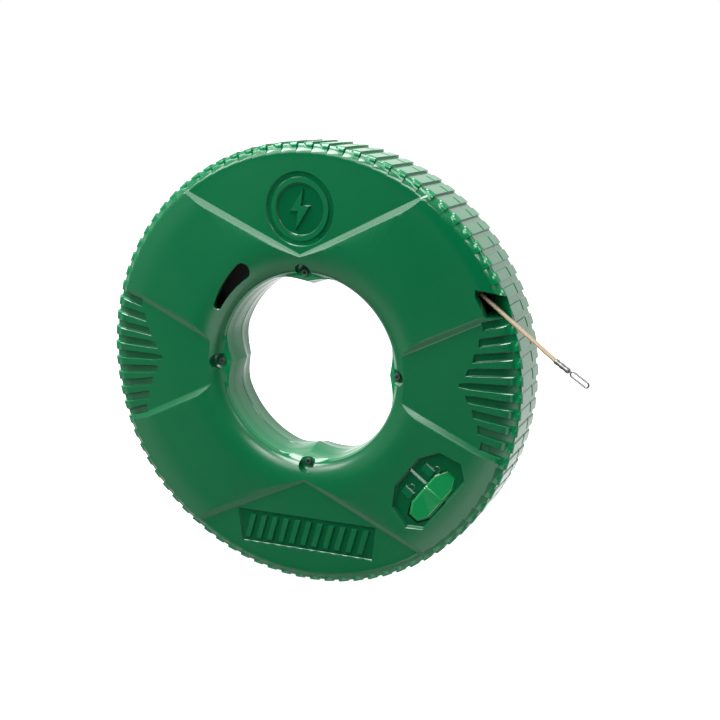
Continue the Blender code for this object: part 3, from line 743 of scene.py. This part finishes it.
PANEL = [(-57, -114), (57, -114), (54, -140), (-54, -140)]
PANEL_LEVELS = [(-0.4, SECTOR_H - 1.2), (0, SECTOR_H - 0.8), (0.6, SECTOR_H + 0.5)]
BARS = 11
BAR_PITCH = 9.4
BAR = [(-5.2, -136.6), (-0.6, -136.6), (5.2, -117.4), (0.6, -117.4)]
BAR_LEVELS = [(0.4, SECTOR_H - 2.0), (0.4, SECTOR_H - 1.2), (-0.25, SECTOR_H - 0.15),
              (-0.3, SECTOR_H + 1.0)]


def panel(shell):
    """A sunk panel with a row of raised slanting bars."""
    sunk = prism("panel", ccw(PANEL), PANEL_LEVELS)
    bars = []
    for i in range(BARS):
        slab = moved(BAR, (i - (BARS - 1) / 2) * BAR_PITCH, 0)
        bars.append(prism("bar", ccw(slab), BAR_LEVELS))
    cut_away(sunk, joined("bars", bars))
    cut_away(shell, sunk)


def rear_shell():
    shell = case_half("case_rear", REAR_PARTING, -1)
    cut_away(shell, *sector_cutters(-1), joined("grooves", groove_cutters(-1)))
    return shade(shell, 25)


# ================= materials =================

SUNK_PAINTED_SHADE = 0.72  # painted shade: the floors sunk into the face are darkened to this part of the face's colour
RIM_PAINTED_LIGHT = 1.7  # painted light: the smooth rim and the hand hole are lightened by this factor
# Places on the case where a look sets in and where it is full.
PAINTED_LIGHT_START = (158, 163)  # radii where the rim's painted light sets in and is full
FACE_END = (153, 158)  # of the smooth rim
FACE_START = (72.5, 70.5)  # of the smooth hand hole, which also gets painted light
CUT_START = (84, 92)  # of the smooth creases and cuts
PAINTED_SHADE_START = (98, 99)  # of the painted shade on the sunk floors
PAINTED_SHADE_END = (156, 154)
CUT_LEVEL = (23.97, 23.85)  # heights of what is cut into the sectors
CREASE_FOOT = (24.02, 24.1)  # and of the creases
CREASE_TOP = (25.9, 25.6)
SPECULAR = 0.42
COAT_ROUGHNESS = 0.12
PATCH_SCALE = 14
GRAIN_SCALE = 1800
GRAIN_DEPTH = 0.00006
UNEVEN = 0.02  # gloss varies by this much either way
STREAK_SCALE = 220
STREAK_SHADE = 0.82
POLISH = (0.05, 0.08)  # roughness varies by this much down and up


def add(tree, kind, inputs=None, **settings):
    """A new shader node. An input is set to a value, or linked if that is another's socket."""
    node = tree.nodes.new("ShaderNode" + kind)
    for name, value in settings.items():
        setattr(node, name, value)
    return fill(tree, node, inputs or {})


def fill(tree, node, inputs):
    for name, value in inputs.items():
        if isinstance(value, bpy.types.NodeSocket):
            tree.links.new(value, node.inputs[name])
        else:
            node.inputs[name].default_value = value
    return node


def ramped(tree, value, low, high, start=0.0, end=1.0, easing="LINEAR"):
    """The start value up to low, the end value from high on, and a ramp between."""
    inputs = {"Value": value, "From Min": low, "From Max": high, "To Min": start, "To Max": end}
    return add(tree, "MapRange", inputs, interpolation_type=easing).outputs["Result"]


def calculated(tree, operation, first, second=0.0):
    return add(tree, "Math", {0: first, 1: second}, operation=operation).outputs["Value"]


def shaded(colour, factor):
    return (*[c * factor for c in colour], 1)


def mixed(tree, factor, first, second):
    inputs = {"Factor": factor, "A": first, "B": second}
    return add(tree, "Mix", inputs, data_type="RGBA").outputs["Result"]


def new_material(name):
    """A material, its nodes, its shader and the socket of the coordinates on its object."""
    material = bpy.data.materials.new(name)
    material.use_nodes = True
    tree = material.node_tree
    return material, tree, tree.nodes["Principled BSDF"], add(tree, "TexCoord").outputs["Object"]


def plastic(name, colour, roughness, grain=0.1, fleck=0.03, coat=0.0, rim_roughness=None):
    """Moulded plastic: faint patches of colour, fine grain and slightly uneven gloss. With a
    rim roughness, it is that smooth outside the face and in the hand hole, and it gets
    painted shade on its sunk floors and painted light on its rim and in the hand hole."""
    material, tree, shader, at = new_material(name)
    patches = add(tree, "TexNoise", {"Vector": at, "Scale": PATCH_SCALE, "Detail": 1})
    patches = patches.outputs["Fac"]
    tint = mixed(tree, patches, shaded(colour, 1 - fleck), shaded(colour, 1 + fleck))
    gloss = ramped(tree, patches, 0.3, 0.7, roughness - UNEVEN, roughness + UNEVEN)
    if rim_roughness is not None:
        smooth_part, painted_shade_part, painted_light_part = face_mask(tree, at)
        # painted shade darkens the sunk floors, and painted light lightens the rim and the hand
        # hole
        tint = mixed(tree, painted_shade_part, tint, shaded(colour, SUNK_PAINTED_SHADE))
        tint = mixed(tree, painted_light_part, tint, shaded(colour, RIM_PAINTED_LIGHT))
        inputs = {"Factor": smooth_part, "A": gloss, "B": rim_roughness}
        gloss = add(tree, "Mix", inputs).outputs["Result"]
    fine = add(tree, "TexNoise", {"Vector": at, "Scale": GRAIN_SCALE, "Detail": 2})
    bump = add(tree, "Bump", {"Strength": grain, "Distance": GRAIN_DEPTH,
                              "Height": fine.outputs["Fac"]})
    fill(tree, shader, {"Specular IOR Level": SPECULAR, "Coat Weight": coat,
                        "Coat Roughness": COAT_ROUGHNESS, "Base Color": tint,
                        "Roughness": gloss, "Normal": bump.outputs["Normal"]})
    return material


def face_mask(tree, at):
    """Three sockets: 0 on the flat arms and sectors and 1 on every other surface, for the gloss;
    1 only on the floors sunk into the face, for their painted shade; and 1 only on the rim
    and in the hand hole, for their painted light. A coordinate is in metres, and the reel's
    axis is its Y."""

    def step(value, low, high):
        return ramped(tree, value, low * MM, high * MM)

    def most(first, second):
        return calculated(tree, "MAXIMUM", first, second)

    def least(first, second):
        return calculated(tree, "MINIMUM", first, second)

    flat = add(tree, "VectorMath", {0: at, 1: (1, 0, 1)}, operation="MULTIPLY").outputs["Vector"]
    radius = add(tree, "VectorMath", {0: flat}, operation="LENGTH").outputs["Value"]
    height = add(tree, "SeparateXYZ", {0: at}).outputs["Y"]
    height = calculated(tree, "ABSOLUTE", height)
    outside = step(radius, *FACE_END)
    inside = step(radius, *FACE_START)
    below_sector = step(height, *CUT_LEVEL)
    on_crease = least(step(height, *CREASE_FOOT), step(height, *CREASE_TOP))
    cut = least(most(on_crease, below_sector), step(radius, *CUT_START))
    # the band of radii whose sunk floors get painted shade
    sunk = least(step(radius, *PAINTED_SHADE_START), step(radius, *PAINTED_SHADE_END))
    painted_shade_part = least(below_sector, sunk)
    # where light is painted: the rim and the hand hole
    painted_light_part = most(step(radius, *PAINTED_LIGHT_START), inside)
    return most(most(outside, inside), cut), painted_shade_part, painted_light_part


def metal(name, colour, roughness):
    """Bright metal with fine streaks and slightly uneven polish."""
    material, tree, shader, at = new_material(name)
    streaks = add(tree, "TexNoise", {"Vector": at, "Scale": STREAK_SCALE, "Detail": 4})
    streaks = streaks.outputs["Fac"]
    tint = mixed(tree, streaks, shaded(colour, STREAK_SHADE), shaded(colour, 1))
    gloss = ramped(tree, streaks, 0, 1, roughness - POLISH[0], roughness + POLISH[1])
    fill(tree, shader, {"Metallic": 1, "Base Color": tint, "Roughness": gloss})
    return material


# with a rim roughness, the case gets painted shade on its sunk floors and painted light on its rim
# and in the hand hole
CASE_GREEN = plastic("case_green", (0.0002, 0.066, 0.0222), 0.25, rim_roughness=0.16)
ROCKER_GREEN = plastic("rocker_green", (0.0003, 0.132, 0.034), 0.16, coat=0.4)
DRUM_BLACK = plastic("drum_black", (0.008, 0.008, 0.009), 0.5)
ACETAL = plastic("acetal", (0.01, 0.01, 0.0105), 0.45)
FIBRE = plastic("glass_fibre", (0.21, 0.158, 0.098), 0.4, grain=0.5, fleck=0.15, coat=0.1)
SCREW_STEEL = plastic("screw_steel", (0.026, 0.028, 0.028), 0.35, fleck=0.2)
BRIGHT_STEEL = metal("bright_steel", (0.18, 0.18, 0.172), 0.3)


# ================= tape =================

def tape_curve(name, points, radius, rounding=4):
    """A round tape along a path."""
    curve = bpy.data.curves.new(name, "CURVE")
    curve.dimensions = "3D"
    curve.bevel_depth = radius * MM
    curve.bevel_resolution = rounding
    curve.use_fill_caps = True
    spline = curve.splines.new("POLY")
    spline.points.add(len(points) - 1)
    for point, at in zip(spline.points, place(points)):
        point.co = (*at, 1)
    return new_object(name, curve)


COIL_FIRST_R = 87.7  # radius of the innermost layer
COIL_PITCH = 3.1
COIL_LAYERS = 10
COIL_TURNS = 8  # turns side by side in a layer
COIL_LOW_H = -17.2  # height of the rearmost turn of a layer
COIL_POINTS = 36  # points in one turn
COIL_CLIMB = 0.5  # part of a turn in which the tape climbs to the next layer
COIL_EXIT = 0.35  # and in which it goes over to the leading stretch
LEAD_POINTS = 18


def winding_points():
    """The stored tape, wound in layers and ending where the leading stretch begins."""
    last_angle = math.atan2(TAPE_START.y, TAPE_START.x)
    last_radius = math.hypot(TAPE_START.x, TAPE_START.y)
    turns = COIL_LAYERS * COIL_TURNS
    count = turns * COIL_POINTS
    width = (COIL_TURNS - 1) * COIL_PITCH
    points = []
    for i in range(count + 1):
        turn = i / COIL_POINTS
        layer = min(int(turn / COIL_TURNS), COIL_LAYERS - 1)
        across = (turn - layer * COIL_TURNS) / COIL_TURNS
        if layer % 2:
            across = 1 - across
        radius = COIL_FIRST_R + COIL_PITCH * layer
        if layer < COIL_LAYERS - 1:
            climb = smooth(turn - layer * COIL_TURNS, COIL_TURNS - COIL_CLIMB, COIL_TURNS)
            radius += COIL_PITCH * float(climb)
        height = COIL_LOW_H + width * across
        out = float(smooth(turn, turns - COIL_EXIT, turns))
        radius += (last_radius - radius) * out
        height += (TAPE_START.z - height) * out
        angle = last_angle + (turns - turn) * 2 * math.pi
        points.append((*polar(radius, angle), height))
    return points


def leading_points():
    step = (TAPE_INSIDE + TAPE_OUTSIDE) / (LEAD_POINTS - 1)
    return [tuple(TAPE_START + TAPE_LINE * (step * i)) for i in range(LEAD_POINTS)]


def make_tape():
    wound = winding_points()
    coil = piece(tape_curve("stored_tape", wound, TAPE_R, 1), "drum", FIBRE,
                 ["tape_coil"])
    lead = leading_points()
    tape = piece(tape_curve("leading_tape", lead, TAPE_R), "leader", FIBRE,
                 ["tape_run"])
    ferrule = piece(leader_ferrule(), "leader", BRIGHT_STEEL,
                    ["leader_ferrule"])
    eye = piece(leader_eye(), "leader", BRIGHT_STEEL, ["leader_eye"])


FERRULE_R = 2.0
FERRULE_LENGTH = 12.3
CRIMPS = (3.4, 8.2)  # middles of its two pressed bands


def leader_ferrule():
    """Crimped tube at the end of the tape, with two pressed bands and rounded rims."""
    start, along = leader_axis()
    profile = [(0, 1.2), (0, FERRULE_R - 0.3), (0.3, FERRULE_R)]
    for middle in CRIMPS:
        profile += [(middle - 1.3, FERRULE_R), (middle - 0.9, FERRULE_R - 0.2),
                    (middle + 0.9, FERRULE_R - 0.2), (middle + 1.3, FERRULE_R)]
    profile += [(FERRULE_LENGTH - 1.2, FERRULE_R), (FERRULE_LENGTH - 0.4, FERRULE_R - 0.3),
                (FERRULE_LENGTH, FERRULE_R - 0.8), (FERRULE_LENGTH, 0.4)]
    return shade(lathe("end_ferrule", start, along, profile), 50)


EYE_WIRE = 0.68  # radius of the wire
EYE_HALF = 1.7  # half the loop's width, to the middle of the wire


def leader_eye():
    """The pulling eye: a long loop of bright wire."""
    seat, along = leader_axis()
    across = along.cross(Vector((0, 0, 1))).normalized()
    third = along.cross(across)
    end = seat + along * FERRULE_LENGTH
    first = end + along * (FERRULE_GAP + EYE_WIRE + EYE_HALF)
    last = TAPE_TIP - along * (EYE_WIRE + EYE_HALF)
    rings = []
    arc, sides = 24, 16
    for centre, base in ((last, 0.0), (first, math.pi)):
        for i in range(arc + 1):
            angle = base + math.pi * (i / arc - 0.5)
            out = along * math.cos(angle) + across * math.sin(angle)
            rings.append([tuple(centre + out * (EYE_HALF + x) + third * y)
                          for x, y in circle(0, 0, EYE_WIRE, sides)])
    return shade(loft("pulling_eye", rings, cyclic=True), 60)


# ================= screws =================

HEAD_R = 2.5
HEAD_TOP = 17.2
SEAT_H = 15.8  # under the head
SHANK_R = 1.3
THREAD_R = 1.72
THREAD_PITCH = 0.9
THREAD_ENDS = (-11.8, 12.5)
TIP = [(-13.5, 0.15), (-12.0, 1.2)]  # height, radius
SLOT = rectangle(0, 0, 1.6, 0.38)  # an arm of the cross recess
SLOT_LEVELS = [(-0.25, HEAD_TOP - 1.5), (0.05, HEAD_TOP + 1)]


def case_screw(number):
    """A pan-head screw with a cross recess and a threaded shank."""
    x, y = polar(SCREW_R, 2 * math.pi * (number - 1) / SCREWS)
    profile = list(TIP)
    at, end = THREAD_ENDS
    while at < end:
        profile += [(at, SHANK_R), (at + THREAD_PITCH / 2, THREAD_R)]
        at += THREAD_PITCH
    profile += [(13.4, 1.6), (SEAT_H, 1.75), (SEAT_H, HEAD_R), (SEAT_H + 0.9, HEAD_R),
                (SEAT_H + 1.5, HEAD_R - 0.4), (HEAD_TOP - 0.15, HEAD_R - 1.3), (HEAD_TOP, 0.3)]
    screw = lathe(f"screw_{number}", (x, y, 0), (0, 0, 1), profile, 32)
    for quarter in (0, math.pi / 2):
        turn = turned_point(quarter + number)
        arm = moved([turn(px, py, 0)[:2] for px, py in SLOT], x, y)
        cut_away(screw, prism("slot", arm, SLOT_LEVELS))
    return piece(shade(screw), "case", SCREW_STEEL, [f"case_screw_{number}"])


# ================= rocker =================

RIDGE_T = -1.6  # the ridge lies this far from the pivot's plane
RIDGE_H = 26.3
RIDGE_FOOT = (0.9, 1.5)  # its sides fall between these distances from its middle
NOTCH = 0.35  # depth and half width of the line along the ridge
LOWER_TOP = 25.8  # the lower half falls off from here, in two facets
LOWER_FALL = 0.10
FACET_LINE = (0.75, 2.5)  # slope and place of the edge between the facets
FACETS = (0.07, 0.03)
UPPER_TOP = 25.6  # and the upper half from here, along and across
UPPER_FALL = (0.15, 0.06)
BUTTON_EDGE = (0.9, 1.6)  # drop and width of the rounded edge
BUTTON_GRID = (48, 112)
BARREL_R = 3.2
BARREL_INSET = 0.6
PIN_HOLE_R = 1.55
LEVER = rectangle(119.05, -14, 5.45, 4)  # reaches over the plunger
LEVER_H = (18.2, 21.2)


def button_top(x, y, edge_distance):
    """Height of the button's two sloping halves and of the ridge between them."""
    y -= RIDGE_T
    x -= ROCKER_R[0]
    if y < 0:
        facet = x * FACET_LINE[0] + y + FACET_LINE[1]
        level = LOWER_TOP + LOWER_FALL * y - FACETS[0] * max(facet, 0) + FACETS[1] * max(-facet, 0)
    else:
        level = UPPER_TOP - UPPER_FALL[0] * y - UPPER_FALL[1] * x
    ridge = RIDGE_H - NOTCH * float(1 - smooth(abs(y), 0.1, NOTCH))
    level = ridge + (level - ridge) * float(smooth(abs(y), *RIDGE_FOOT))
    drop, width = BUTTON_EDGE
    return level - drop * (1 - float(smooth(edge_distance, 0.0, width)))


def distance_inside(outline, x, y):
    """Distance from a point to the nearest side of a counter-clockwise outline, 0 outside."""
    nearest = math.inf
    for i, b in enumerate(outline):
        a = outline[i - 1]
        side = (b - a).normalized()
        nearest = min(nearest, side.x * (y - a.y) - side.y * (x - a.x))
    return max(nearest, 0.0)


def rocker():
    """Two-way lock button, cut from a block with a shaped top, with its barrel and lever."""
    low, high = ROCKER_T[0] - 1, ROCKER_T[1] + 1
    inner, outer = ROCKER_R[0] - 1, ROCKER_R[1] + 1
    outline = [Vector(p) for p in button_outline()]
    nx, ny = BUTTON_GRID
    rings = []
    for j in range(ny + 1):
        y = low + (high - low) * j / ny
        ring = [(outer, y, ROCKER_FLOOR), (inner, y, ROCKER_FLOOR)]
        for i in range(nx + 1):
            x = inner + (outer - inner) * i / nx
            ring.append((x, y, button_top(x, y, distance_inside(outline, x, y))))
        rings.append([lock_point(*point) for point in ring])
    button = loft("lock_button", rings)
    trim = prism("trim", button_outline(), [(0, ROCKER_FLOOR - 1), (0, ABOVE)], lock_point)
    combine(button, trim, "INTERSECT")
    barrel = bar("barrel", lock_point(ROCKER_R[0] + BARREL_INSET, 0, PIVOT_H),
                 lock_point(ROCKER_R[1] - BUTTON_TRIM[0] - BARREL_INSET, 0, PIVOT_H), BARREL_R)
    combine(button, barrel, "UNION")
    lever = prism("lever", LEVER, [(0, height) for height in LEVER_H], lock_point)
    combine(button, lever, "UNION")
    hole = bar("pin_hole", lock_point(ROCKER_R[0] - 3, 0, PIVOT_H),
               lock_point(ROCKER_R[1] + 3, 0, PIVOT_H), PIN_HOLE_R)
    cut_away(button, hole)
    return piece(shade(button), "rocker", ROCKER_GREEN, ["lock_rocker"])


# ================= CAD nodes that stay =================

STAYING = [(ACETAL, ["front_glide_ring", "rear_glide_ring"]),
           (DRUM_BLACK, ["drum_hub", "drum_front_flange", "drum_rear_flange", "tape_guide"]),
           (BRIGHT_STEEL, ["tape_anchor_clip", "rocker_pin", "lock_plunger", "plunger_bracket",
                           "plunger_spring", "detent_leaf"])]


def dress_cad_nodes():
    for material, names in STAYING:
        for name in names:
            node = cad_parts[name]
            node.data.materials.clear()
            node.data.materials.append(material)


# ================= stage =================

DARK_SIDE = Vector((-0.16, -0.9, -0.36)).normalized()  # towards the middle of the dark room
DARK_COSINES = (-0.35, 0.72)  # the room is fully lit up to the first, and dark from the second
WORLD_LIGHT = 1.8
BELOW_LIGHT = 1.0  # from underneath, setting in between these heights
BELOW_HEIGHTS = (-0.45, -0.66)
# Soft glows in the dark room: direction, cosines where each begins and is full, strength.
GLOWS = [((-0.80, -0.58, 0.16), 0.90, 0.99, 0.8),
         ((-0.72, -0.58, -0.36), 0.945, 0.99, 1.0),
         ((0.15, -0.80, -0.58), 0.88, 0.975, 3.0)]
# Lamps: name, place in metres, size, power; all of them point at the reel's middle.
LAMPS = [("front_softbox", (-0.40, -0.95, 0.72), (1.2, 0.6), 11.0),
         ("front_top", (0.0, -0.96, 0.72), (0.35, 0.3), 3.0),
         ("left_top", (-0.85, -0.63, 0.57), (0.35, 0.3), 3.0),
         ("over", (-0.40, -0.32, 1.06), (0.7, 0.7), 32),
         ("strip_0", (0.72, -0.60, 0.78), (0.05, 0.3), 0.8),
         ("strip_1", (0.81, -0.51, 0.78), (0.05, 0.3), 0.8)]
FLOOR_GAP = 0.0002  # in metres, as its reach
FLOOR_REACH = 30
FLOOR_GREY = 0.4


def area_light(name, at, size, power):
    data = bpy.data.lights.new(name, "AREA")
    data.shape = "RECTANGLE"
    data.size, data.size_y = size
    data.energy = power
    light = new_object(name, data)
    light.location = at
    light.rotation_euler = (-Vector(at)).to_track_quat("-Z", "Y").to_euler()


def make_world():
    """White, except that as light it is dark on the camera's side, where the face mirrors."""
    world = bpy.data.worlds.new("studio")
    world.use_nodes = True
    tree = world.node_tree
    direction = add(tree, "TexCoord").outputs["Generated"]

    def cosine(aim):
        inputs = {0: direction, 1: aim}
        return add(tree, "VectorMath", inputs, operation="DOT_PRODUCT").outputs["Value"]

    strength = ramped(tree, cosine(DARK_SIDE), *DARK_COSINES, WORLD_LIGHT, 0.0, "SMOOTHSTEP")
    height = add(tree, "SeparateXYZ", {0: direction}).outputs["Z"]
    below = ramped(tree, height, *BELOW_HEIGHTS, 0.0, BELOW_LIGHT, "SMOOTHSTEP")
    strength = calculated(tree, "MAXIMUM", strength, below)
    for aim, begin, full, power in GLOWS:
        near = cosine(Vector(aim).normalized())
        glow = ramped(tree, near, begin, full, 0.0, power, "SMOOTHSTEP")
        strength = calculated(tree, "MAXIMUM", strength, glow)
    white = fill(tree, tree.nodes["Background"], {"Color": (1, 1, 1, 1), "Strength": 1.0})
    soft = add(tree, "Background", {"Strength": strength})
    seen = add(tree, "LightPath").outputs["Is Camera Ray"]
    mix = add(tree, "MixShader", {"Fac": seen, 1: soft.outputs["Background"],
                                  2: white.outputs["Background"]})
    fill(tree, tree.nodes["World Output"], {"Surface": mix.outputs["Shader"]})
    bpy.context.scene.world = world
    bpy.context.scene.view_settings.view_transform = "Standard"


def make_floor():
    low = -CASE_R * MM - FLOOR_GAP
    mesh = bpy.data.meshes.new("floor")
    corners = [(-1, -1), (1, -1), (1, 1), (-1, 1)]
    mesh.from_pydata([(x * FLOOR_REACH, y * FLOOR_REACH, low) for x, y in corners], [],
                     [(0, 1, 2, 3)])
    floor = new_object("floor", mesh)
    floor.visible_glossy = False
    material = bpy.data.materials.new("floor_white")
    material.use_nodes = True
    tree = material.node_tree
    seen = add(tree, "LightPath").outputs["Is Camera Ray"]
    fill(tree, tree.nodes["Principled BSDF"],
         {"Base Color": (FLOOR_GREY, FLOOR_GREY, FLOOR_GREY, 1), "Roughness": 0.9,
          "Specular IOR Level": 0.0, "Emission Color": (1, 1, 1, 1), "Emission Strength": seen})
    mesh.materials.append(material)


def make_stage():
    make_world()
    make_floor()
    for lamp in LAMPS:
        area_light(*lamp)


# ================= build =================

make_tape()
piece(front_shell(), "case", CASE_GREEN, ["front_shell"])
piece(rear_shell(), "case", CASE_GREEN, ["rear_shell"])
for number in range(1, SCREWS + 1):
    case_screw(number)
rocker()
dress_cad_nodes()
make_stage()
